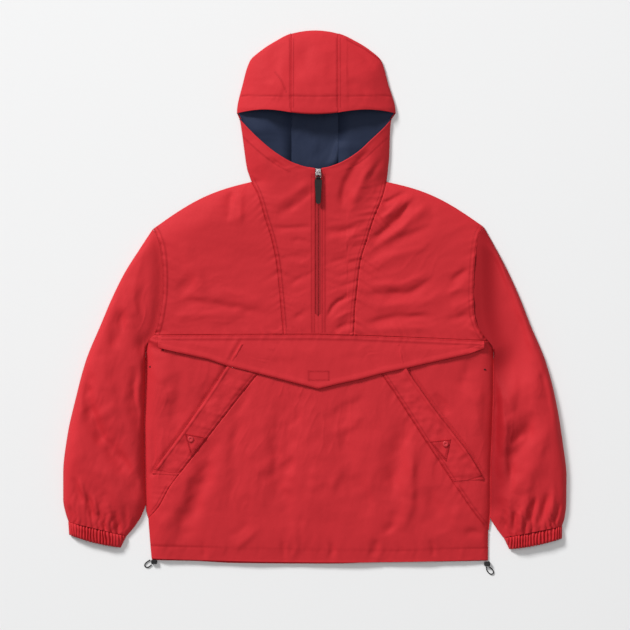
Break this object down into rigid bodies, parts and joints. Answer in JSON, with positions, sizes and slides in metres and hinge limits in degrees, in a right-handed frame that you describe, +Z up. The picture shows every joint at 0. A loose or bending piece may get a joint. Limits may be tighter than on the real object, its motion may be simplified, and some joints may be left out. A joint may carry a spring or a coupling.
{
  "type": "anorak pullover",
  "caption": "Hooded half-zip pullover jacket laid flat on its back, with a wide V-edged pocket flap, slanted hand pockets, gathered cuffs and elastic hem cords.",
  "frame": {"origin": "on the surface that the garment lies on, under the middle of its outline", "axes": "+Z up off the surface towards the viewer, +Y towards the hood, +X towards the sleeve on the reader's right"},
  "size_m": [0.9355, 1.0118, 0.0372],
  "materials": {
    "shell_cloth": "matte woven nylon",
    "lining_cloth": "matte woven lining",
    "zip_tape": "matte knitted tape",
    "zip_coil": "satin",
    "zip_metal": "polished",
    "pull_rubber": "matte",
    "snap_enamel": "satin enamel",
    "lock_plastic": "matte",
    "elastic_cord": "braided"
  },
  "bodies": {
    "garment": {"back_panel": "shell_cloth", "cord_lock_left": "lock_plastic", "cord_lock_right": "lock_plastic", "cuff_left": "shell_cloth", "cuff_right": "shell_cloth", "front_hood_left": "shell_cloth", "front_hood_right": "shell_cloth", "front_lower_center": "shell_cloth", "front_lower_side_left": "shell_cloth", "front_lower_side_right": "shell_cloth", "hem_cord_left": "elastic_cord", "hem_cord_right": "elastic_cord", "hood_center": "shell_cloth", "hood_lining_center": "lining_cloth", "hood_lining_left": "lining_cloth", "hood_lining_right": "lining_cloth", "pocket_flap": "shell_cloth", "pocket_front_left": "shell_cloth", "pocket_front_right": "shell_cloth", "sleeve_left": "shell_cloth", "sleeve_right": "shell_cloth", "snap_left": "snap_enamel", "snap_right": "snap_enamel", "snap_tab_left": "shell_cloth", "snap_tab_right": "shell_cloth", "yoke_left": "shell_cloth", "yoke_right": "shell_cloth", "zip_coil": "zip_coil", "zip_slider": "zip_metal", "zip_tape_left": "zip_tape", "zip_tape_right": "zip_tape"},
    "pull": {"zip_puller": "zip_metal", "zip_pull_tab": "pull_rubber"}
  },
  "joints": [
    {"name": "pull_swing", "type": "hinge", "parent": "garment", "child": "pull", "pos_m": [0.0061, 0.2275, 0.0292], "axis": [-1, 0, 0], "range_deg": [0, 160]}
  ]
}
